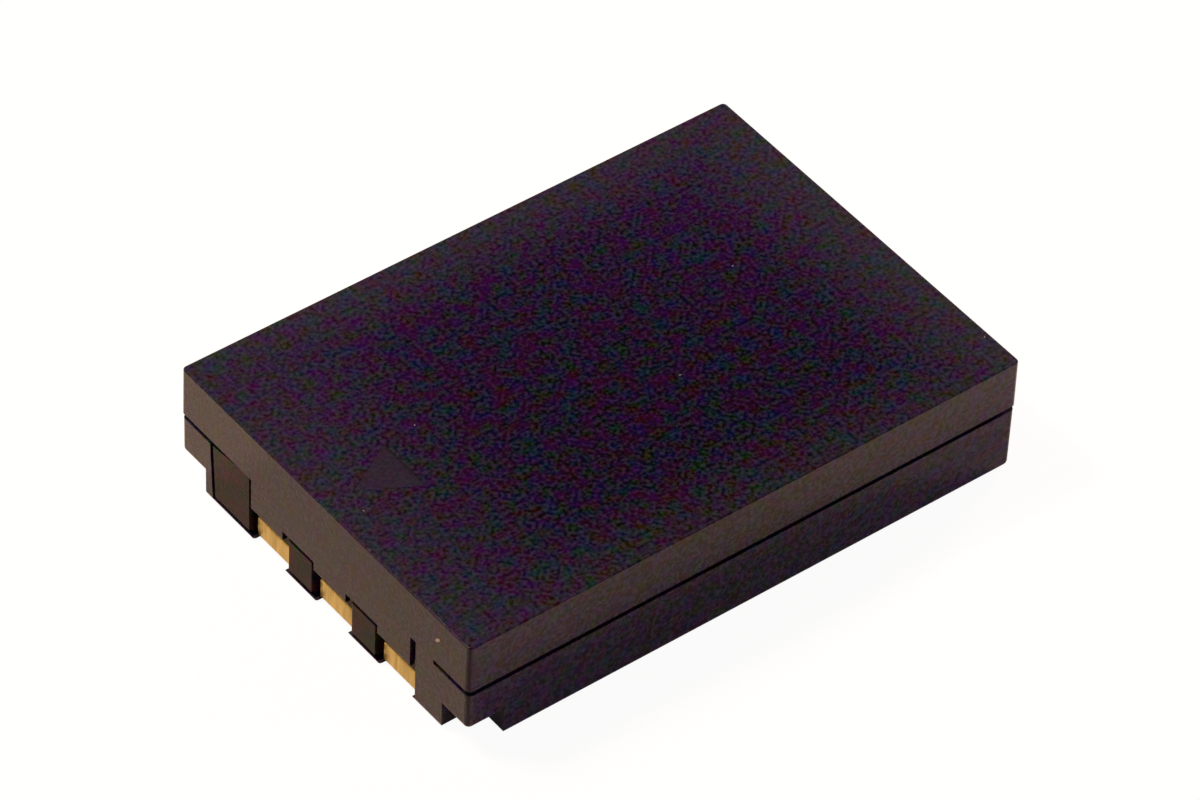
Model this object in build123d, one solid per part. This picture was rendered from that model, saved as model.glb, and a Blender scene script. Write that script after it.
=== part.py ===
from build123d import *
import os

# Camera battery, in millimetres: length along X, width along Y, thickness along Z.
# The origin is the centre of the underside, and the contact end is at -X.

# Outside of the two cases
LENGTH = 46.0
WIDTH = 32.0
THICKNESS = 9.7
UPPER_DEPTH = 4.0  # from the top face down to the rim of the upper case
CASE_STEP = 0.04  # the lower case stands this far inside the upper one, all round
DRAFT = 0.5  # degrees
LOWER_DRAFT = 0.15  # degrees, outside of the lower case
UPRIGHT_RADIUS = 0.4
TOP_EDGE_RADIUS = 0.12
BOTTOM_EDGE_RADIUS = 0.45

# Walls, and the lap joint where the cases are welded together
WALL = 0.8
TOP_WALL = 0.75
FLOOR = 0.65
INNER_RADIUS = 0.4
RIM_GAP = 0.45  # the open groove seen all round the pack
LIP_THICKNESS = 0.35
LIP_HEIGHT = 0.8
LIP_CLEARANCE = 0.05
JOINT_GAP = 0.05  # where the groove is closed, on both sides of the contacts
LAND_WIDTH = 1.9  # of the closed stretch right of the contacts
PANEL_CLOSED = 1.0  # of the closed stretch over the block's panel

# Arrow sunk in the top face, pointing the way the pack goes in
ARROW_LENGTH = 4.2
ARROW_WIDTH = 4.8
ARROW_FROM_END = 2.5
ARROW_DEPTH = 0.05

# Key notches in the two lower corners of the contact end
NOTCH_LENGTH = 3.0
NOTCH_WIDTH = 2.8
NOTCH_HEIGHT = 2.2
NOTCH_RADIUS = 0.6  # upright inner corner
NOTCH_EDGE_RADIUS = 0.35  # where the notch's ceiling meets the outside
NOTCH_WALL = 0.7
POST_WIDTH = 0.48  # wall between a notch and the contact bay

# Contacts, a row of formed strips that lies off centre
CONTACT_NAMES = ("positive", "thermistor", "negative")
CONTACT_PITCH = 7.07
CONTACT_OFFSET = -1.03
CONTACT_WIDTH = 3.6
CONTACT_THICKNESS = 0.2
CONTACT_RECESS = 0.5  # from the end face back to the strip
CONTACT_LIFT = 0.15  # from the underside up to the strip's foot
CONTACT_TOP = 2.2  # level at which the strip turns back into the block
BEND_RADIUS = 0.3  # at the middle of the strip
FOOT_LENGTH = 1.6
TAIL_WIDTH = 1.2
TAIL_STICK_OUT = 0.3  # past the back of the board
TAIL_SHOULDER = 1.2  # length of the full-width strip in the block

# Slots that the contacts are reached through
SLOT_WIDTH = 4.38  # in the end face
FLOOR_SLOT_WIDTH = 3.8  # in the floor
FLOOR_SLOT_LENGTH = 2.2  # from the end face
SLOT_EDGE_RADIUS = 0.2  # over a contact and to its right, where the tongue and a rib frame it

# Tongue of the upper case that hangs over the contacts, notched to clear the ribs
TONGUE_DROP = 2.75
TONGUE_GAP_LEFT = 0.28
TONGUE_GAP_RIGHT = 0.55
RIB_NOTCH_HEIGHT = 0.85
RIB_TOP_GAP = 0.35

# Terminal block that fills the contact bay of the lower case
BAY_LEAN = 0.3  # how far the bay's left edge leans over its height
BAY_GAP = 0.35  # open joint at the bay's left edge
BLOCK_CLEARANCE = 0.1
BLOCK_DEPTH = 2.0
BLOCK_HEIGHT = 4.05
FLOOR_EDGE = 0.35  # thickness of the floor where it shows under the panel and the ribs
TOE_HEIGHT = 0.4  # shadow gap between that floor and the panel or a rib
TOE_DEPTH = 0.35

# Protection board, which stands across the pack behind the block
BOARD_THICKNESS = 0.8
BOARD_SIDE_CLEARANCE = 0.2
BOARD_TOP_CLEARANCE = 0.3
BOARD_SLOT_CLEARANCE = 0.1

# Small six-lead packages on the back of the board
PACKAGE_WIDTH = 2.9
PACKAGE_HEIGHT = 1.6
PACKAGE_DEPTH = 1.0
PACKAGE_STANDOFF = 0.1
LEAD_PITCH = 0.95
LEAD_WIDTH = 0.4
LEAD_THICKNESS = 0.15
LEAD_REACH = 0.6
LEAD_BEND = 0.1
PACKAGE_TOP_MARGIN = 0.4
PACKAGE_SIDE_MARGIN = 2.2

# Chip parts on the back of the board
CHIP_LENGTH = 1.6
CHIP_WIDTH = 0.8
RESISTOR_DEPTH = 0.45
CAPACITOR_DEPTH = 0.8
THERMISTOR_DEPTH = 0.6
CHIP_CAP = 0.3  # length of each metal end
CHIP_SKIN = 0.03  # how far the metal ends stand out
CHIP_PITCH = 1.9
CHIP_SIDE_MARGIN = 1.0
CHIP_HEIGHT = 2.4  # from the floor of the case to the middle of the chips
THERMISTOR_DROP = 1.3  # from the top of the board

# Ribs moulded inside the cases to hold the board
RIB_THICKNESS = 0.8
RIB_LENGTH = 2.0
RIB_SPREAD = 10.0  # between the two ribs of a pair
RIB_REACH = 1.2
RIB_CLEARANCE = 0.1

# Cell in its sealed can, and the tapes that hold it
HEADER_SPACE = 3.3  # from the board to the cell's lid
CELL_SIDE_GAP = 0.3
CELL_END_GAP = 0.3
CELL_RADIUS = 2.0
CELL_END_RADIUS = 0.4
TAPE_THICKNESS = 0.15
TAPE_MARGIN = 3.0

# Terminals on the lid of the cell
INSULATOR_THICKNESS = 0.25
INSULATOR_MARGIN = 1.2
INSULATOR_CLEARANCE = 0.15
GASKET_WIDTH = 5.0
GASKET_HEIGHT = 3.4
RIVET_WIDTH = 3.8
RIVET_HEIGHT = 2.4
RIVET_HEAD = 0.6
RIVET_SHANK = 1.4  # diameter
END_ROUND = 0.5
PLATE_WIDTH = 4.0
PLATE_HEIGHT = 3.5
PLATE_THICKNESS = 0.3

# Nickel tabs and the resettable fuse between two of them
TAB_THICKNESS = 0.15
TAB_WIDTH = 2.4
TAB_BEND = 0.3
TAB_FOOT = 2.0
NEGATIVE_TAB_REACH = 4.6  # from the rivet to the bend
PTC_LENGTH = 3.6
PTC_WIDTH = 2.8
PTC_THICKNESS = 0.4
PTC_FROM_PLATE = 0.5
PTC_TAB_REACH = 0.8  # past the fuse to the bend
TERMINAL_CLEARANCE = 0.5  # between the gasket and the fuse's tab

# Levels and places that follow from the sizes above
FAR = 2 * (LENGTH + WIDTH + THICKNESS)
RIM = THICKNESS - UPPER_DEPTH
LOWER_RIM = RIM - RIM_GAP
CEILING = THICKNESS - TOP_WALL
END_FACE = -LENGTH / 2
LOWER_END = END_FACE + CASE_STEP
NOTCH_END = END_FACE + NOTCH_LENGTH
NOTCH_SIDE = WIDTH / 2 - NOTCH_WIDTH
BAY_SIDE = NOTCH_SIDE - POST_WIDTH
CONTACT_FRONT = END_FACE + CONTACT_RECESS
SEAT = CONTACT_FRONT + CONTACT_THICKNESS
BLOCK_BACK = SEAT + BLOCK_DEPTH
BLOCK_TOP = FLOOR + BLOCK_HEIGHT
TAIL_LEVEL = CONTACT_TOP - CONTACT_THICKNESS / 2
BOARD_BACK = BLOCK_BACK + BOARD_THICKNESS
BOARD_HALF = BAY_SIDE - BOARD_SIDE_CLEARANCE
BOARD_TOP = CEILING - BOARD_TOP_CLEARANCE
LID = BOARD_BACK + HEADER_SPACE
CELL_HALF = WIDTH / 2 - WALL - CELL_SIDE_GAP
CELL_BOTTOM = FLOOR + TAPE_THICKNESS
CELL_TOP = CEILING - TAPE_THICKNESS
CELL_END = LENGTH / 2 - WALL - CELL_END_GAP
CELL_MIDDLE = (CELL_BOTTOM + CELL_TOP) / 2
RIVET_FACE = LID - INSULATOR_THICKNESS - RIVET_HEAD
PTC_BEND = GASKET_WIDTH / 2 + TERMINAL_CLEARANCE
PTC_END = PTC_BEND + PTC_TAB_REACH
PTC_START = PTC_END + PTC_LENGTH
PLATE_Y = PTC_START + PTC_FROM_PLATE + PLATE_WIDTH / 2
PLATE_FACE = LID - PLATE_THICKNESS
PTC_BACK = PLATE_FACE - TAB_THICKNESS
PTC_FACE = PTC_BACK - PTC_THICKNESS
TONGUE_BOTTOM = RIM - TONGUE_DROP
RIB_TOP = TONGUE_BOTTOM + RIB_NOTCH_HEIGHT - RIB_TOP_GAP
TONGUE_BACK = END_FACE + WALL - LIP_THICKNESS - LIP_CLEARANCE
CONTACT_PLACES = [CONTACT_OFFSET + step * CONTACT_PITCH for step in (1, 0, -1)]
BAY_RIGHT = CONTACT_PLACES[-1] - SLOT_WIDTH / 2


def block(low, high):
    """A box between two opposite corners."""
    size = [b - a for a, b in zip(low, high)]
    centre = [(a + b) / 2 for a, b in zip(low, high)]
    return Pos(*centre) * Box(*size)


def rounded_prism(level, depth, inset, radius, upward, draft=DRAFT):
    """A rounded rectangle, inset from the pack's outline, drawn up or down from a level with draft."""
    plane = Plane(origin=(0, 0, level), z_dir=(0, 0, 1 if upward else -1))
    outline = RectangleRounded(LENGTH - 2 * inset, WIDTH - 2 * inset, radius)
    return extrude(plane * outline, amount=depth, taper=draft)


def bent_strip(plane, points, thickness, radius, width):
    """A strip of sheet metal bent along a line, with its width across the plane."""
    return extrude(plane * trace(FilletPolyline(*points, radius=radius), thickness), width / 2, both=True)


def bay_outline(gap, bottom):
    """The contact bay seen from the end, as a prism along X; gap narrows it at its leaning left edge."""
    left_top = BAY_SIDE - gap
    left_bottom = left_top - BAY_LEAN
    corners = [(left_bottom, bottom), (BAY_RIGHT, bottom), (BAY_RIGHT, RIM), (left_top, RIM)]
    face = Plane(origin=(0, 0, 0), x_dir=(0, 1, 0), z_dir=(1, 0, 0)) * Polygon(*corners, align=None)
    return extrude(face, FAR, both=True)


def tongue():
    """The upper case's tongue: a band with a tooth over each contact and a notch over each rib."""
    left = CONTACT_PLACES[0] + SLOT_WIDTH / 2 - TONGUE_GAP_LEFT
    right = BAY_RIGHT + TONGUE_GAP_RIGHT
    band_bottom = TONGUE_BOTTOM + RIB_NOTCH_HEIGHT
    shape = block((END_FACE, right, band_bottom), (TONGUE_BACK, left, RIM))
    for place in CONTACT_PLACES:
        tooth_left = place + SLOT_WIDTH / 2 - TONGUE_GAP_LEFT
        tooth_right = place - SLOT_WIDTH / 2 + TONGUE_GAP_RIGHT
        tooth = block((END_FACE, tooth_right, TONGUE_BOTTOM), (TONGUE_BACK, tooth_left, band_bottom))
        lower_edge = tooth.edges().filter_by(Axis.Y).sort_by(Axis.X)[:2].sort_by(Axis.Z)[0]
        shape += fillet(lower_edge, SLOT_EDGE_RADIUS)
    return shape


def board_ribs(level, upward):
    """Short ribs in pairs, standing from a case on the sides of the board."""
    reach = RIB_REACH if upward else -RIB_REACH
    low, high = sorted((level, level + reach))
    behind = BOARD_BACK + RIB_CLEARANCE
    shape = None
    for side in (-1, 1):
        middle = side * RIB_SPREAD / 2
        rib = block((behind, middle - RIB_LENGTH / 2, low), (behind + RIB_THICKNESS, middle + RIB_LENGTH / 2, high))
        shape = rib if shape is None else shape + rib
    return shape


def upper_case():
    """Upper shell: a drafted box, open below, with the rebate for the lip, the tongue and the arrow."""
    shape = rounded_prism(RIM, UPPER_DEPTH, 0, UPRIGHT_RADIUS, True)
    shape = fillet(shape.faces().sort_by(Axis.Z)[-1].edges(), TOP_EDGE_RADIUS)
    shape -= rounded_prism(RIM, UPPER_DEPTH - TOP_WALL, WALL, INNER_RADIUS, True)
    rebate_inset = WALL - LIP_THICKNESS - LIP_CLEARANCE
    shape -= rounded_prism(RIM, LIP_HEIGHT + LIP_CLEARANCE, rebate_inset, INNER_RADIUS, True, 0)
    shape += tongue()
    shape += board_ribs(CEILING, False)
    tip = END_FACE + ARROW_FROM_END
    base = tip + ARROW_LENGTH
    corners = [(tip, 0), (base, -ARROW_WIDTH / 2), (base, ARROW_WIDTH / 2)]
    arrow = Plane.XY.offset(THICKNESS) * Polygon(*corners, align=None)
    return shape - extrude(arrow, -ARROW_DEPTH)


def notch_cut(side):
    """The cut of one key notch, with a rounded inner corner."""
    cut = block((-FAR, NOTCH_SIDE, -FAR), (NOTCH_END, FAR, NOTCH_HEIGHT))
    inner = cut.edges().filter_by(Axis.Z).sort_by(Axis.X)[-2:].sort_by(Axis.Y)[0]
    cut = fillet(inner, NOTCH_RADIUS)
    return cut if side > 0 else cut.mirror(Plane.XZ)


def notch_rims(shape):
    """The edges where the notches' ceilings meet the outside of the lower case."""
    ceilings = shape.faces().filter_by(Axis.Z).filter_by(lambda face: abs(face.center().Z - NOTCH_HEIGHT) < RIM_GAP)
    end = END_FACE + CASE_STEP + UPRIGHT_RADIUS
    side = WIDTH / 2 - CASE_STEP - UPRIGHT_RADIUS
    return ceilings.edges().filter_by(lambda edge: edge.center().X < end or abs(edge.center().Y) > side)


def lower_case():
    """Lower shell: a drafted tray with a lip, notched lower corners, the contact bay and the floor slots."""
    shape = rounded_prism(LOWER_RIM, LOWER_RIM, CASE_STEP, UPRIGHT_RADIUS, False, LOWER_DRAFT)
    for side in (-1, 1):
        shape -= notch_cut(side)
    shape = fillet(notch_rims(shape), NOTCH_EDGE_RADIUS)
    shape = fillet(shape.faces().sort_by(Axis.Z)[0].edges(), BOTTOM_EDGE_RADIUS)
    cavity = rounded_prism(LOWER_RIM, LOWER_RIM - FLOOR, WALL, INNER_RADIUS, False)
    for side in (-1, 1):
        inner, outer = sorted((side * BAY_SIDE, side * WIDTH))
        corner = (NOTCH_END + NOTCH_WALL, outer, NOTCH_HEIGHT + NOTCH_WALL)
        cavity -= block((END_FACE, inner, 0), corner)
    shape -= cavity
    lip = rounded_prism(LOWER_RIM, RIM_GAP + LIP_HEIGHT, WALL - LIP_THICKNESS, INNER_RADIUS, True, 0)
    lip -= rounded_prism(LOWER_RIM, RIM_GAP + LIP_HEIGHT, WALL, INNER_RADIUS, True, 0)
    shape += lip
    land_back = END_FACE + WALL - LIP_THICKNESS
    shape += block((LOWER_END, BAY_RIGHT - LAND_WIDTH, LOWER_RIM), (land_back, BAY_RIGHT, RIM - JOINT_GAP))
    bay = bay_outline(0, FLOOR)
    bay += Pos(0, 0, LIP_HEIGHT) * bay
    shape -= bay & block((-FAR, -WIDTH, 0), (BLOCK_BACK, WIDTH, THICKNESS))
    shape -= bay_outline(0, FLOOR_EDGE) & block((-FAR, -WIDTH, 0), (SEAT, WIDTH, LOWER_RIM))
    for place in CONTACT_PLACES:
        low = (-FAR, place - FLOOR_SLOT_WIDTH / 2, -FLOOR)
        shape -= block(low, (END_FACE + FLOOR_SLOT_LENGTH, place + FLOOR_SLOT_WIDTH / 2, FLOOR))
    return shape + board_ribs(FLOOR, True)


def panel():
    """The block's panel left of the contacts, whose top slopes up until it closes the groove."""
    right = CONTACT_PLACES[0] + SLOT_WIDTH / 2
    closed = RIM - JOINT_GAP
    top = [(WIDTH, LOWER_RIM), (BAY_SIDE, LOWER_RIM), (right + PANEL_CLOSED, closed), (right, closed)]
    plane = Plane(origin=(LOWER_END, 0, 0), x_dir=(0, 1, 0), z_dir=(1, 0, 0))
    return extrude(plane * Polygon((right, FLOOR_EDGE), (WIDTH, FLOOR_EDGE), *top, align=None), SEAT - LOWER_END)


def terminal_block():
    """Moulded block: a base that the contacts run through, a panel and ribs at the end, and noses in the floor."""
    right = BAY_RIGHT + BLOCK_CLEARANCE
    shape = block((SEAT, right, FLOOR), (BLOCK_BACK, WIDTH, BLOCK_TOP))
    shape += block((CONTACT_FRONT, right, CONTACT_TOP), (SEAT, WIDTH, BLOCK_TOP))
    shape = (shape + panel()) & bay_outline(BAY_GAP, FLOOR_EDGE)
    for left, right in zip(CONTACT_PLACES, CONTACT_PLACES[1:]):
        rib_left = left - SLOT_WIDTH / 2
        rib_right = right + SLOT_WIDTH / 2
        rib = block((LOWER_END, rib_right, FLOOR_EDGE), (SEAT, rib_left, RIB_TOP))
        left_edge = rib.edges().filter_by(Axis.Z).sort_by(Axis.X)[:2].sort_by(Axis.Y)[-1]
        shape += fillet(left_edge, SLOT_EDGE_RADIUS)
    shape -= block((-FAR, -WIDTH, -FLOOR), (LOWER_END + TOE_DEPTH, WIDTH, FLOOR_EDGE + TOE_HEIGHT))
    for place in CONTACT_PLACES:
        half = CONTACT_WIDTH / 2
        foot_top = CONTACT_LIFT + CONTACT_THICKNESS
        shape += block((SEAT, place - half, foot_top), (CONTACT_FRONT + FOOT_LENGTH, place + half, FLOOR))
        shape -= contact(place)
    return shape


def contact(place):
    """Gold-plated strip in the block: a foot below, the face in the slot, and a tail through to the board."""
    face = CONTACT_FRONT + CONTACT_THICKNESS / 2
    foot = CONTACT_LIFT + CONTACT_THICKNESS / 2
    shoulder = CONTACT_FRONT + TAIL_SHOULDER
    points = [(CONTACT_FRONT + FOOT_LENGTH, foot), (face, foot), (face, TAIL_LEVEL), (shoulder, TAIL_LEVEL)]
    strip = bent_strip(Plane.XZ, points, CONTACT_THICKNESS, BEND_RADIUS, CONTACT_WIDTH)
    tail_end = BOARD_BACK + TAIL_STICK_OUT
    tail = block((shoulder, -TAIL_WIDTH / 2, CONTACT_TOP - CONTACT_THICKNESS), (tail_end, TAIL_WIDTH / 2, CONTACT_TOP))
    return Pos(0, place, 0) * (strip + tail)


def circuit_board():
    """Protection board with a slot for each contact's tail."""
    shape = block((BLOCK_BACK, -BOARD_HALF, FLOOR), (BOARD_BACK, BOARD_HALF, BOARD_TOP))
    half_width = TAIL_WIDTH / 2 + BOARD_SLOT_CLEARANCE
    half_height = CONTACT_THICKNESS / 2 + BOARD_SLOT_CLEARANCE
    for place in CONTACT_PLACES:
        low = (-FAR, place - half_width, TAIL_LEVEL - half_height)
        shape -= block(low, (FAR, place + half_width, TAIL_LEVEL + half_height))
    return shape


def six_lead_package(side):
    """Small moulded package with three bent leads above and three below, on one end of the board."""
    back = BOARD_BACK + PACKAGE_STANDOFF
    middle = BOARD_BACK + PACKAGE_STANDOFF + PACKAGE_DEPTH / 2
    foot = BOARD_BACK + LEAD_THICKNESS / 2
    half = PACKAGE_HEIGHT / 2
    body = block((back, -PACKAGE_WIDTH / 2, -half), (back + PACKAGE_DEPTH, PACKAGE_WIDTH / 2, half))
    knee = half + LEAD_REACH / 2
    points = [(middle, 0), (middle, knee), (foot, knee), (foot, half + LEAD_REACH)]
    lead = bent_strip(Plane.XZ, points, LEAD_THICKNESS, LEAD_BEND, LEAD_WIDTH)
    for step in (-1, 0, 1):
        body += Pos(0, step * LEAD_PITCH, 0) * lead
        body += Pos(0, step * LEAD_PITCH, 0) * lead.mirror(Plane.XY)
    y = side * (BOARD_HALF - PACKAGE_SIDE_MARGIN - PACKAGE_WIDTH / 2)
    z = BOARD_TOP - PACKAGE_TOP_MARGIN - LEAD_REACH - PACKAGE_HEIGHT / 2
    return Pos(0, y, z) * body


def chip(depth, y, z):
    """Chip part with its length along Z and a metal end at each end of it."""
    half = CHIP_WIDTH / 2
    inner = CHIP_LENGTH / 2 - CHIP_CAP
    body = block((BOARD_BACK + CHIP_SKIN, -half, -inner), (BOARD_BACK + CHIP_SKIN + depth, half, inner))
    outer = half + CHIP_SKIN
    for low in (-CHIP_LENGTH / 2, inner):
        body += block((BOARD_BACK, -outer, low), (BOARD_BACK + depth + 2 * CHIP_SKIN, outer, low + CHIP_CAP))
    return Pos(0, y, z) * body


def chip_pair(depth, side):
    """Two like chips near one end of the board."""
    z = FLOOR + CHIP_HEIGHT
    first = BOARD_HALF - CHIP_SIDE_MARGIN - CHIP_WIDTH / 2
    return Compound(children=[chip(depth, side * (first - step * CHIP_PITCH), z) for step in (0, 1)])


def cell():
    """Flat lithium-ion cell in its sealed can, with round sides and a flat lid toward the board."""
    plane = Plane(origin=(LID, 0, CELL_MIDDLE), x_dir=(0, 1, 0), z_dir=(1, 0, 0))
    outline = RectangleRounded(2 * CELL_HALF, CELL_TOP - CELL_BOTTOM, CELL_RADIUS)
    can = extrude(plane * outline, CELL_END - LID)
    return fillet(can.faces().sort_by(Axis.X)[-1].edges(), CELL_END_RADIUS)


def lid_plate(face, thickness, y, width, height, radius):
    """A flat piece on the cell's lid, with rounded corners."""
    plane = Plane(origin=(face, y, CELL_MIDDLE), x_dir=(0, 1, 0), z_dir=(1, 0, 0))
    return extrude(plane * RectangleRounded(width, height, radius), thickness)


def rivet_gasket():
    """Gasket under the rivet's head, with a hole for its shank."""
    face = LID - INSULATOR_THICKNESS
    shape = lid_plate(face, INSULATOR_THICKNESS, 0, GASKET_WIDTH, GASKET_HEIGHT, END_ROUND)
    hole = Plane(origin=(face, 0, CELL_MIDDLE), z_dir=(1, 0, 0)) * Circle(RIVET_SHANK / 2)
    return shape - extrude(hole, INSULATOR_THICKNESS)


def negative_rivet():
    """Flat-headed rivet: the head outside the gasket, the shank down to the lid."""
    head = lid_plate(RIVET_FACE, RIVET_HEAD, 0, RIVET_WIDTH, RIVET_HEIGHT, END_ROUND)
    under = LID - INSULATOR_THICKNESS
    shank = Plane(origin=(under, 0, CELL_MIDDLE), z_dir=(1, 0, 0)) * Circle(RIVET_SHANK / 2)
    return head + extrude(shank, INSULATOR_THICKNESS)


def header_insulator():
    """Sheet on the lid with windows for the gasket and the positive plate."""
    face = LID - INSULATOR_THICKNESS
    width = 2 * (CELL_HALF - INSULATOR_MARGIN)
    height = CELL_TOP - CELL_BOTTOM - 2 * INSULATOR_MARGIN
    shape = lid_plate(face, INSULATOR_THICKNESS, 0, width, height, END_ROUND)
    spare = 2 * INSULATOR_CLEARANCE
    gasket = lid_plate(face, INSULATOR_THICKNESS, 0, GASKET_WIDTH + spare, GASKET_HEIGHT + spare, END_ROUND)
    plate = lid_plate(face, INSULATOR_THICKNESS, PLATE_Y, PLATE_WIDTH + spare, PLATE_HEIGHT + spare, END_ROUND)
    return shape - gasket - plate


def tab_to_board(face, start, bend, foot_end):
    """Nickel tab that lies flat at the cell, turns to the board at the bend and ends in a foot on it."""
    cell_side = face - TAB_THICKNESS / 2
    board_side = BOARD_BACK + TAB_THICKNESS / 2
    points = [(cell_side, start), (cell_side, bend), (board_side, bend), (board_side, foot_end)]
    plane = Plane(origin=(0, 0, CELL_MIDDLE))
    return bent_strip(plane, points, TAB_THICKNESS, TAB_BEND, TAB_WIDTH)


def negative_tab():
    """Tab from the rivet to the board."""
    bend = -NEGATIVE_TAB_REACH
    return tab_to_board(RIVET_FACE, RIVET_WIDTH / 2, bend, bend - TAB_FOOT)


def positive_tab():
    """Tab that lies on the positive plate and carries the fuse."""
    half = TAB_WIDTH / 2
    low = (PTC_BACK, PTC_END, CELL_MIDDLE - half)
    return block(low, (PLATE_FACE, PLATE_Y + PLATE_WIDTH / 2, CELL_MIDDLE + half))


def ptc_chip():
    """Resettable fuse, a flat chip between the two tabs."""
    half = PTC_WIDTH / 2
    return block((PTC_FACE, PTC_END, CELL_MIDDLE - half), (PTC_BACK, PTC_START, CELL_MIDDLE + half))


def ptc_tab():
    """Tab from the fuse to the board."""
    return tab_to_board(PTC_FACE, PTC_START, PTC_BEND, PTC_BEND - TAB_FOOT)


def tape(bottom):
    """Double-sided tape over the flat of the cell."""
    half = CELL_HALF - CELL_RADIUS
    low = (LID + TAPE_MARGIN, -half, bottom)
    return block(low, (CELL_END - TAPE_MARGIN, half, bottom + TAPE_THICKNESS))


def pieces():
    """Every piece of the pack, by the name of its node."""
    made = {
        "upper_case": upper_case(),
        "lower_case": lower_case(),
        "terminal_block": terminal_block(),
        "circuit_board": circuit_board(),
        "protection_ic": six_lead_package(1),
        "mosfet_pair": six_lead_package(-1),
        "thermistor": chip(THERMISTOR_DEPTH, 0, BOARD_TOP - THERMISTOR_DROP),
        "chip_resistors": chip_pair(RESISTOR_DEPTH, -1),
        "chip_capacitors": chip_pair(CAPACITOR_DEPTH, 1),
        "cell": cell(),
        "rivet_gasket": rivet_gasket(),
        "negative_rivet": negative_rivet(),
        "header_insulator": header_insulator(),
        "positive_plate": lid_plate(PLATE_FACE, PLATE_THICKNESS, PLATE_Y, PLATE_WIDTH, PLATE_HEIGHT, END_ROUND),
        "positive_tab": positive_tab(),
        "ptc_chip": ptc_chip(),
        "ptc_tab": ptc_tab(),
        "negative_tab": negative_tab(),
        "lower_tape": tape(FLOOR),
        "upper_tape": tape(CELL_TOP),
    }
    for name, place in zip(CONTACT_NAMES, CONTACT_PLACES):
        made["contact_" + name] = contact(place)
    return made


os.makedirs("parts", exist_ok=True)
for node, shape in pieces().items():
    export_step(shape, "parts/" + node + ".step")
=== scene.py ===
# %% [markdown]
# # A flat camera battery, dressed for its picture
# The object is a rechargeable pack about 46 mm long, 32 mm wide and under 10 mm thick: two
# moulded black half shells, a darker block with three gold contacts at one end, and a flat cell
# with its board inside. The CAD model already has every solid in its place. This lesson loads it,
# leaves the shapes alone, and works on what CAD doesn't give: the camera, the light, the finish
# of each piece and the few specks of dust that lie on it.

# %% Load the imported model
import math

import bmesh
import bpy
from mathutils import Matrix, Vector


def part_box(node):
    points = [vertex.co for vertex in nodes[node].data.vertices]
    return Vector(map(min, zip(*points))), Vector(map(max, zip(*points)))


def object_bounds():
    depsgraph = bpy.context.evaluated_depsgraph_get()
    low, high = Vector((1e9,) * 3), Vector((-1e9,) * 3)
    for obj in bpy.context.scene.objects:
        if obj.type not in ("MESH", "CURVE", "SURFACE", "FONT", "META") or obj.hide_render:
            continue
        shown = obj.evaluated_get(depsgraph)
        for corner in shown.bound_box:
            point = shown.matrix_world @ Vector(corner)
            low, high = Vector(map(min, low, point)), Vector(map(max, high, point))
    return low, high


MM = 0.001
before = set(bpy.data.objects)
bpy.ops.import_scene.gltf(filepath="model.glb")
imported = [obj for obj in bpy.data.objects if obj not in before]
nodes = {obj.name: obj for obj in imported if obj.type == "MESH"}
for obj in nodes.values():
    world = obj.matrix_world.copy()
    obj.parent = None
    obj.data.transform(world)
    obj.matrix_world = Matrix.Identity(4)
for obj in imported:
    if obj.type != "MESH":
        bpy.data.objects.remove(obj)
cad_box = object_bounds()
print("pieces from CAD:", ", ".join(sorted(nodes)))
print("box in mm:", [[round(value / MM, 2) for value in corner] for corner in cad_box])

# %% [markdown]
# ## Camera
# The picture looks down on the pack from its contact end, with a long lens from nearly half a
# metre away. The edges hardly converge, so a short lens would give the wrong shape. Guessing a
# camera and nudging it takes many renders. The corners of a box of known size give the lens, the
# distance and the three angles at once, so those values are written here. Blender's camera looks
# along its own -Z, so its axes are built from the direction back to the camera and then rolled a
# little about it.

# %% Place the camera
SENSOR = 36.0  # millimetres wide
LENS = 204.77  # millimetres, on that sensor
CAMERA_AZIMUTH = math.radians(-39.62)
CAMERA_ELEVATION = math.radians(44.025)
CAMERA_ROLL = math.radians(2.89)
CAMERA_DISTANCE = 457.44 * MM
LOOK_AT = Vector((0.465, 0.622, 5.645)) * MM


def camera_axes(azimuth, elevation, roll):
    """The camera's own X, Y and Z in the scene, as the columns of a matrix."""
    across = math.cos(elevation)
    back = Vector((math.sin(azimuth) * across, -math.cos(azimuth) * across, math.sin(elevation)))
    right = Vector((0, 0, 1)).cross(back).normalized()
    up = back.cross(right)
    turn = Matrix.Rotation(roll, 3, back)
    return Matrix((turn @ right, turn @ up, back)).transposed()


axes = camera_axes(CAMERA_AZIMUTH, CAMERA_ELEVATION, CAMERA_ROLL)
lens = bpy.data.cameras.new("picture_camera")
lens.lens = LENS
lens.sensor_width = SENSOR
lens.sensor_fit = "HORIZONTAL"
lens.clip_start = 0.01
camera = bpy.data.objects.new("picture_camera", lens)
camera.matrix_world = Matrix.Translation(LOOK_AT + axes.col[2] * CAMERA_DISTANCE) @ axes.to_4x4()
bpy.context.scene.collection.objects.link(camera)
bpy.context.scene.camera = camera
bpy.context.scene.view_settings.view_transform = "Standard"
print("camera at", [round(value / MM, 1) for value in camera.location], "mm")

# %% [markdown]
# ## Nodes in one line
# A finish is a handful of shader nodes and the links between them. Written out, each node takes
# four or five lines, and the idea gets lost. The helper add makes a node, sets its properties,
# and for every input either sets a plain value or, if it is given another node's output, draws
# the link. The other helpers here are one step of arithmetic each.

# %% Helpers for shader nodes
def plug(tree, socket, value):
    """A link from another node's output, or a plain value."""
    if isinstance(value, bpy.types.NodeSocket):
        tree.links.new(value, socket)
    else:
        socket.default_value = value


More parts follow.
